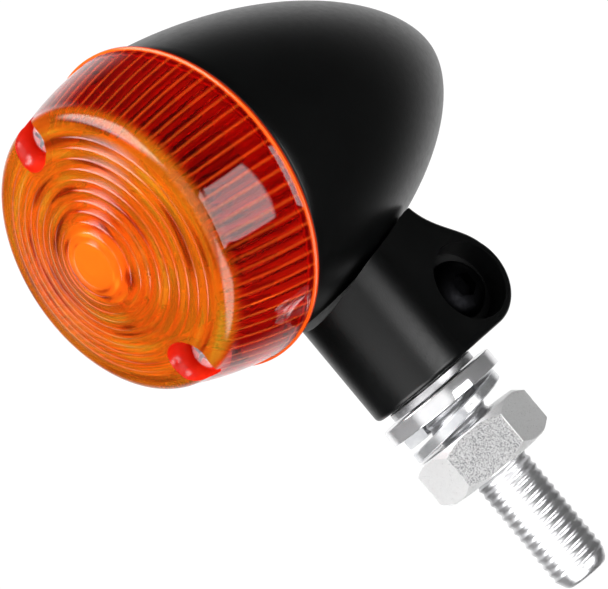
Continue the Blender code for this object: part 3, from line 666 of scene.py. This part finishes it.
def at_outlet():
    """The lead outlet's place on the housing's hidden lower side, z out of the wall."""
    angle = math.radians(OUTLET_ANGLE)
    lean = math.atan2(housing_radius(OUTLET_DEPTH + 1.0) - housing_radius(OUTLET_DEPTH - 1.0), 2.0)
    out = Vector((math.cos(angle) * math.cos(lean), math.sin(angle) * math.cos(lean), math.sin(lean)))
    radius = housing_radius(OUTLET_DEPTH)
    spot = Vector((radius * math.cos(angle), radius * math.sin(angle), -OUTLET_DEPTH)) * MM
    turn = Vector((0, 0, 1)).rotation_difference(out).to_matrix().to_4x4()
    return HEAD @ Matrix.Translation(spot) @ turn


def build_housing():
    outer = bullet(0.0, -MOUTH_Z + 0.25, 56)
    inner = bullet(-HOUSING_WALL, 5.0, 30)
    inner.reverse()
    lip = [(MOUTH_R, -4.2), (MOUTH_R, MOUTH_Z - 0.2), (MOUTH_R + 0.2, MOUTH_Z)]
    lip += [(HOUSING_R - 0.28, MOUTH_Z), (HOUSING_R - 0.06, MOUTH_Z - 0.1)]
    shell = revolved("housing_shell", outer + inner + lip, 160, 0.0, HEAD)
    for side in (-1, 1):
        cut(shell, bar("boss", -15.5, -3.6, 4.0, 48, at_screw(side)), "UNION")
    lug = prism("lug", lug_outline(), -LUG_HALF, LUG_HALF, "X", HEAD)
    cut(shell, rounded(lug, 0.3, 2), "UNION")
    for side in (-1, 1):
        cut(shell, bar("drill", -13.5, 2.0, LENS_SCREW_HOLE_R, 32, at_screw(side)))
    bore = circle(to_head(PIVOT.y / MM, PIVOT.z / MM), PIVOT_BORE_R, 48)
    cut(shell, prism("bore", bore, -9.0, 9.0, "X", HEAD))
    cut(shell, bar("drill", -6.0, 4.0, OUTLET_R, 40, at_outlet()))
    soften(shell, 28)
    return finish_piece(shell, "black", "head", ["housing"])


def build_grommet():
    profile = [(1.6, 1.5), (1.8, 1.6), (3.2, 1.6), (3.7, 1.35), (3.9, 0.95), (2.3, 0.5), (2.3, -2.9)]
    profile += [(3.6, -3.6), (3.2, -4.4), (1.6, -4.4)]
    ring = soften(revolved("grommet_ring", profile, 48, 0.0, at_outlet()))
    return finish_piece(ring, "rubber", "head", ["lead_grommet"])


def build_reflector():
    profile = [(24.1, -1.9), (24.2, -2.0), (24.2, -2.6), (24.1, -2.7), (16.9, -2.7)]
    profile += [(15.6, -6.2), (14.3, -9.3), (13.2, -11.8), (11.6, -14.4), (9.5, -16.4), (8.75, -16.4)]
    profile += [(8.75, -15.6), (9.1, -15.6), (10.9, -13.7), (12.5, -11.3), (13.9, -8.3), (15.1, -5.3)]
    profile += [(15.9, -2.6), (16.3, -1.95), (16.8, -1.9)]
    dish = revolved("reflector_dish", profile, 144, 0.0, HEAD)
    for side in (-1, 1):
        cut(dish, bar("hole", -9.0, 3.0, 1.8, 40, at_screw(side)))
    soften(dish)
    return finish_piece(dish, "sheet", "head", ["reflector"])


def build_bulb_glass():
    globe_r, globe_z, wall = 9.5, 3.5, 0.7
    outer, inner = [], []
    for i in range(22):
        angle = math.radians(6.0 * i)
        outer.append((globe_r * math.sin(angle), globe_z + globe_r * math.cos(angle)))
        inner.append(((globe_r - wall) * math.sin(angle), globe_z + (globe_r - wall) * math.cos(angle)))
    outer += [(6.7, -5.2), (6.6, -6.4), (6.6, -13.0)]
    inner += [(6.0, -5.0), (5.9, -6.4), (5.9, -13.0)]
    inner.reverse()
    globe = soften(revolved("bulb_globe", outer + inner, 96, 0.0, HEAD), 60)
    return finish_piece(globe, "glass", "bulb", ["bulb_glass"])


# ---------------------------------------------------------------- foot and hardware


def foot_outline():
    """The cheeks seen along X: base, round lobe about the pivot, and a curve up to the saddle."""
    py, pz = PIVOT.y / MM, PIVOT.z / MM
    points = [(0.0, 0.0), (py - 0.6, 0.0)] + arc((py, pz), LOBE_R, -88, 24.8, 40)
    handles = (Vector(points[-1]), Vector((18.25, 16.8)), Vector((12.65, 19.2)), Vector((12.25, 25.8)))
    for i in range(1, 21):
        t = i / 20
        point = Vector((0.0, 0.0))
        for k, handle in enumerate(handles):
            point += handle * (math.comb(3, k) * t**k * (1 - t) ** (3 - k))
        points.append(tuple(point))
    return points + [(11.65, FOOT_TOP), (0.0, FOOT_TOP)]


def swept_bullet(tilt):
    """The housing with its running gap, tilted about the pivot, to cut the saddle."""
    profile = [(HOUSING_R + SADDLE_GAP, 6.0)] + bullet(SADDLE_GAP, 0.5, 26) + [(0.0, 6.0)]
    tilted = Matrix.Translation(PIVOT) @ Matrix.Rotation(math.radians(-tilt), 4, "X")
    return revolved("saddle", profile, 120, 0.01, tilted @ Matrix.Translation(-PIVOT) @ HEAD)


def hexagon(across_flats, centre=(0.0, 0.0), turn=0.0):
    return circle(centre, across_flats / math.sqrt(3), 6, turn)


def cone_along_x(x_low, r_low, x_high, r_high, segments=72):
    """A tapered drill along X through the pivot."""
    centre = (PIVOT.y / MM, PIVOT.z / MM)
    verts = [(x_low, *p) for p in circle(centre, r_low, segments, 0.03)]
    verts += [(x_high, *p) for p in circle(centre, r_high, segments, 0.03)]
    faces = [tuple(range(segments)), tuple(range(segments, 2 * segments))]
    for i in range(segments):
        j = (i + 1) % segments
        faces.append((i, j, segments + j, segments + i))
    return mesh_object("taper", verts, faces)


def build_foot():
    stem = [(0.0, 0.0), (STEM_R - STEM_EDGE, 0.0)]
    stem += arc((STEM_R - STEM_EDGE, STEM_EDGE), STEM_EDGE, -78, 0, 6) + [(STEM_R, FOOT_TOP), (0.0, FOOT_TOP)]
    foot = revolved("foot_casting", stem, 144)
    arm = rounded(prism("arm", foot_outline(), -ARM_HALF, ARM_HALF, "X"), 1.0, 5, 50)
    cut(foot, arm, "UNION")
    slot = [(SLOT_FRONT, 1.0), (40.0, 1.0), (40.0, 40.0), (SLOT_FRONT, 40.0)]
    cut(foot, rounded(prism("slot", slot, -SLOT_HALF, SLOT_HALF, "X"), 0.5, 3))
    for tilt in (-2.0, 4.0, 10.0):
        cut(foot, swept_bullet(tilt))
    centre = (PIVOT.y / MM, PIVOT.z / MM)
    cut(foot, cone_along_x(POCKET_FLOOR, POCKET_R - 0.15, 14.0, POCKET_R + 0.25))
    cut(foot, prism("hex", hexagon(NUT_POCKET_FLATS, centre), -14.0, -POCKET_FLOOR, "X"))
    cut(foot, prism("bore", circle(centre, PIVOT_BORE_R, 48), -12.0, 12.0, "X"))
    cut(foot, bar("stud_hole", -5.0, 12.5, STUD_HOLE_R, 64))
    soften(foot, 30)
    return finish_piece(foot, "black", "mount", ["pivot_base"])


def thread(z_low, z_high, segments, shape):
    """A rod with a helical ridge, closed by a fan of faces at each end."""
    rows = int((z_high - z_low) / PITCH)
    steps = len(shape)
    height = rows * steps + 1
    verts, faces = [], []
    for j in range(segments):
        angle = 2 * math.pi * j / segments
        for k in range(height):
            radius, share = shape[k % steps]
            z = z_low + PITCH * (k // steps + share + j / segments)
            verts.append((radius * math.cos(angle), radius * math.sin(angle), z))
    for j in range(segments - 1):
        for k in range(height - 1):
            a = j * height + k
            faces.append((a, a + height, a + height + 1, a + 1))
    last = (segments - 1) * height
    for k in range(height - 1 - steps):
        faces.append((last + k, k + steps, k + steps + 1, last + k + 1))
    low = len(verts)
    verts.append((0.0, 0.0, z_low))
    ring = [j * height for j in range(segments)] + [steps - i for i in range(steps + 1)]
    for i in range(len(ring) - 1):
        faces.append((low, ring[i + 1], ring[i]))
    high = len(verts)
    verts.append((0.0, 0.0, z_low + PITCH * (rows + 1)))
    top = [j * height + height - 1 for j in range(segments)]
    wall = [last + height - 1 - steps + i for i in range(steps + 1)]
    ring = top[:-1] + list(reversed(wall))
    for i in range(len(ring)):
        faces.append((high, ring[i], ring[(i + 1) % len(ring)]))
    return mesh_object("stud_rod", verts, faces)


def build_stud():
    drops = [(0.3, 0.0), (0.26, 0.12), (0.14, 0.27), (0.03, 0.4), (0.0, 0.5)]
    drops += [(0.03, 0.6), (0.14, 0.73), (0.26, 0.88)]
    stud = thread(STUD_TIP - 2.5, PITCH, 64, [(STUD_R - drop, share) for drop, share in drops])
    outline = [(0.0, STUD_TIP), (3.5, STUD_TIP), (3.8, STUD_TIP + 0.12), (4.2, STUD_TIP + 0.55)]
    outline += [(STUD_R + 0.05, STUD_TIP + 2.6), (STUD_R + 0.05, -1.0), (0.0, -1.0)]
    cut(stud, revolved("trim", outline, 120, 0.04), "INTERSECT")
    upper = [(0.0, -1.6), (COLLAR_R - 0.1, -1.6), (COLLAR_R, -1.5), (COLLAR_R, -0.4), (COLLAR_R - 0.1, -0.3)]
    upper += [(4.9, -0.3), (4.9, 11.4), (4.1, 12.2), (0.0, 12.2)]
    cut(stud, revolved("upper", upper, 120, 0.02), "UNION")
    soften(stud, 38)
    return finish_piece(stud, "bolt", "mount", ["mounting_stud"])


def build_flat_washer():
    low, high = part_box("flat_washer")
    top, bottom, outer = high.z / MM, low.z / MM, high.x / MM
    edge = 0.18
    profile = [(outer - edge, top)] + arc((outer - edge, top - edge), edge, 60, 0, 2)
    profile += arc((outer - edge, bottom + edge), edge, 0, -60, 2) + [(outer - edge, bottom)]
    profile += [(5.55, bottom), (5.4, bottom + 0.15), (5.4, top - 0.15), (5.55, top)]
    washer = soften(revolved("washer_ring", profile, 160), 40)
    return finish_piece(washer, "chrome", "clamp_stack", ["flat_washer"])


def build_lock_washer():
    """A split ring whose free end springs up off its lower one."""
    low_box, high_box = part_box("lock_washer")
    top, bottom = high_box.z / MM, low_box.z / MM
    inner, outer, thick, chamfer = 5.7, 9.6, 1.9, 0.22
    steps, start, sweep = 120, math.radians(225), math.radians(352)
    section = [
        (inner + chamfer, 0), (outer - chamfer, 0), (outer, chamfer), (outer, thick - chamfer),
        (outer - chamfer, thick), (inner + chamfer, thick), (inner, thick - chamfer), (inner, chamfer),
    ]
    count = len(section)
    verts, faces = [], [tuple(range(count)), tuple(steps * count + k for k in range(count))]
    for i in range(steps + 1):
        angle = start + sweep * i / steps
        rise = min(1.0, i / steps / 0.55)
        low = bottom + (top - thick - bottom) * rise * rise * (3 - 2 * rise)
        for radius, z in section:
            verts.append((radius * math.cos(angle), radius * math.sin(angle), low + z))
    for i in range(steps):
        for k in range(count):
            m = (k + 1) % count
            faces.append((i * count + k, i * count + m, (i + 1) * count + m, (i + 1) * count + k))
    ring = soften(mesh_object("split_ring", verts, faces), 40)
    return finish_piece(ring, "plate", "clamp_stack", ["lock_washer"])


def build_nut():
    low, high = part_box("hex_nut")
    top, bottom = high.z / MM, low.z / MM
    corner, flat = HEX_NUT_FLATS / math.sqrt(3) + 0.28, HEX_NUT_FLATS / 2 - 0.1
    drop = (corner - flat) * math.tan(math.radians(40))
    nut = prism("nut_body", hexagon(HEX_NUT_FLATS, (0, 0), math.radians(HEX_NUT_TURN)), bottom, top)
    rounded(nut, 0.25, 2)
    barrel = [
        (0.0, bottom - 0.01), (flat, bottom - 0.01), (corner, bottom + drop), (corner, top - drop),
        (flat, top + 0.01), (0.0, top + 0.01),
    ]
    cut(nut, revolved("chamfer", barrel, 144, 0.01), "INTERSECT")
    bore = STUD_R + 0.09
    drill = [
        (0.0, bottom - 1.0), (bore + 1.9, bottom - 1.0), (bore, bottom + 0.9), (bore, top - 0.9),
        (bore + 1.9, top + 1.0), (0.0, top + 1.0),
    ]
    cut(nut, revolved("drill", drill, 96, 0.02))
    soften(nut, 20)
    return finish_piece(nut, "mottled", "nut", ["hex_nut"])


def build_pivot_screw():
    seat = POCKET_FLOOR + 0.3
    profile = [(0.0, seat + 2.75), (1.6, seat + 2.72), (2.8, seat + 2.58), (3.8, seat + 2.2)]
    profile += [(4.6, seat + 1.55), (5.05, seat + 0.8), (5.2, seat + 0.3), (5.2, seat), (3.0, seat)]
    profile += [(3.0, -9.0), (2.4, -9.6), (0.0, -9.6)]
    along_x = Matrix.Translation(PIVOT) @ Matrix.Rotation(math.radians(90), 4, "Y")
    screw = revolved("pivot_screw_piece", profile, 80, 0.0, along_x)
    cut(screw, prism("key", hexagon(4.0), seat + 0.8, seat + 6.0, "Z", along_x))
    soften(screw, 30)
    return finish_piece(screw, "oxide", "pivot_bolt", ["pivot_screw"])


# ---------------------------------------------------------------- carried-over nodes


def dress_node(name, mat, angle=35.0):
    """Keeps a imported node's shape, smooths its shading and gives it a material."""
    node = frame["nodes"][name]
    node.data.materials.clear()
    node.data.materials.append(MATS[mat])
    node.data.shade_smooth()
    weld = node.modifiers.new("weld", "WELD")
    weld.merge_threshold = 1e-6
    split = node.modifiers.new("split", "EDGE_SPLIT")
    split.split_angle = math.radians(angle)


def dress_nodes():
    finishes = {
        "pivot_nut": "oxide", "socket_shell": "plate", "contact_disc": "fibre", "contact_rivet": "brass",
        "contact_spring": "plate", "bulb_base": "brass", "bulb_stem": "glass", "bulb_filament": "wire",
        "bulb_insulator": "vitrite", "bulb_contact": "solder",
    }
    for name, mat in finishes.items():
        dress_node(name, mat)


# ---------------------------------------------------------------- studio

TOWARD = compass(CAMERA_BEARING, 0.0)
SIDE = compass(CAMERA_BEARING + 90.0, 0.0)


def build_camera():
    data = bpy.data.cameras.new("camera")
    camera = bpy.data.objects.new("camera", data)
    bpy.context.scene.collection.objects.link(camera)
    roll, rise = math.radians(CAMERA_ROLL), Vector((0, 0, 1))
    right = SIDE * math.cos(roll) - rise * math.sin(roll)
    up = SIDE * math.sin(roll) + rise * math.cos(roll)
    target = SIDE * AIM_SIDEWAYS + rise * AIM_HEIGHT
    rotation = Matrix((right, up, TOWARD)).transposed().to_4x4()
    camera.matrix_world = Matrix.Translation(target + TOWARD * CAMERA_DISTANCE) @ rotation
    data.sensor_width = 36.0
    data.lens = data.sensor_width * CAMERA_DISTANCE / VIEW_WIDTH
    data.clip_start = 0.01
    bpy.context.scene.camera = camera


class World(Nodes):
    """A studio painted on the world by direction: soft cards on a plain gradient."""

    def __init__(self):
        world = bpy.data.worlds.new("studio")
        bpy.context.scene.world = world
        world.use_nodes = True
        super().__init__(world.node_tree)
        self.tree.nodes.clear()
        self.direction = self.tree.nodes.new("ShaderNodeTexCoord").outputs["Generated"]

    def dot(self, vector):
        return self.vector_maths("DOT_PRODUCT", self.direction, vector)

    def step(self, value, low, high, out_low=0.0, out_high=1.0):
        node = self.tree.nodes.new("ShaderNodeMapRange")
        node.interpolation_type = "SMOOTHSTEP"
        for name, level in (("From Min", low), ("From Max", high), ("To Min", out_low), ("To Max", out_high)):
            node.inputs[name].default_value = level
        self.tree.links.new(value, node.inputs["Value"])
        return node.outputs["Result"]

    def card(self, direction, width, height, strength, edge=0.06):
        """A soft-edged rectangle; width and height are tangents of its half angles."""
        across = Vector((0, 0, 1)).cross(direction).normalized()
        along = direction.cross(across)
        ahead = self.dot(direction)
        x = self.maths("ABSOLUTE", self.maths("DIVIDE", self.dot(across), ahead))
        y = self.maths("ABSOLUTE", self.maths("DIVIDE", self.dot(along), ahead))
        within_x, within_y = self.step(x, width, width - edge), self.step(y, height, height - edge)
        inside = self.maths("MULTIPLY", within_x, within_y)
        front = self.maths("GREATER_THAN", ahead, 0.02)
        return self.maths("MULTIPLY", self.maths("MULTIPLY", inside, front), strength)

    def finish(self, level):
        """Lights the scene with the painted level, and shows a plain white backdrop."""
        light = self.tree.nodes.new("ShaderNodeBackground")
        self.tree.links.new(level, light.inputs["Strength"])
        backdrop = self.tree.nodes.new("ShaderNodeBackground")
        backdrop.inputs["Strength"].default_value = 1.05
        path = self.tree.nodes.new("ShaderNodeLightPath")
        mix = self.tree.nodes.new("ShaderNodeMixShader")
        self.tree.links.new(path.outputs["Is Camera Ray"], mix.inputs[0])
        self.tree.links.new(light.outputs[0], mix.inputs[1])
        self.tree.links.new(backdrop.outputs[0], mix.inputs[2])
        for node in (light, backdrop):
            node.inputs["Color"].default_value = (1.0, 1.0, 1.0, 1.0)
        output = self.tree.nodes.new("ShaderNodeOutputWorld")
        self.tree.links.new(mix.outputs[0], output.inputs[0])


def build_world():
    """A bright wall beyond the object as the camera sees it, one crisp card and three soft ones."""
    world = World()
    total = world.step(world.dot(TOWARD), -0.55, -0.9, 0.025, 1.0)
    # Each card: direction, half width, half height, strength and soft edge.
    cards = [
        (compass(88.5, -23.5), 0.35, 0.37, 6.0, 0.03),
        (compass(28.0, -4.0), 1.0, 0.7, 1.0, 0.55),
        (compass(-5.0, 48.0), 0.6, 0.6, 9.5, 0.3),
        (compass(10.0, -48.0), 0.6, 0.6, 6.5, 0.3),
    ]
    for direction, width, height, strength, edge in cards:
        total = world.maths("ADD", total, world.card(direction, width, height, strength, edge))
    world.finish(total)


def build_floor():
    size, z = 1500.0, -260.0
    verts = [(-size, -size, z), (size, -size, z), (size, size, z), (-size, size, z)]
    floor = mesh_object("floor", verts, [(0, 1, 2, 3)])
    s = Shader("pale_floor", Roughness=0.9, Emission_Strength=0.2, Emission_Color=(1.0, 1.0, 1.0, 1.0))
    s.link(s.ramp(s.noise(8.0, 3.0), [(0.3, 0.86), (0.8, 0.9)]), "Base Color")
    floor.data.materials.append(s.mat)
    floor.visible_glossy = False
    floor.visible_transmission = False


def build_studio():
    build_camera()
    build_world()
    build_floor()
    bpy.context.scene.view_settings.view_transform = "Standard"


def build_object():
    build_lens()
    build_gasket()
    build_lens_screw(1, "lens_screw_upper", "screw_upper")
    build_lens_screw(-1, "lens_screw_lower", "screw_lower")
    build_housing()
    build_grommet()
    build_reflector()
    build_bulb_glass()
    build_foot()
    build_stud()
    build_flat_washer()
    build_lock_washer()
    build_nut()
    build_pivot_screw()
    dress_nodes()


build_object()
build_studio()
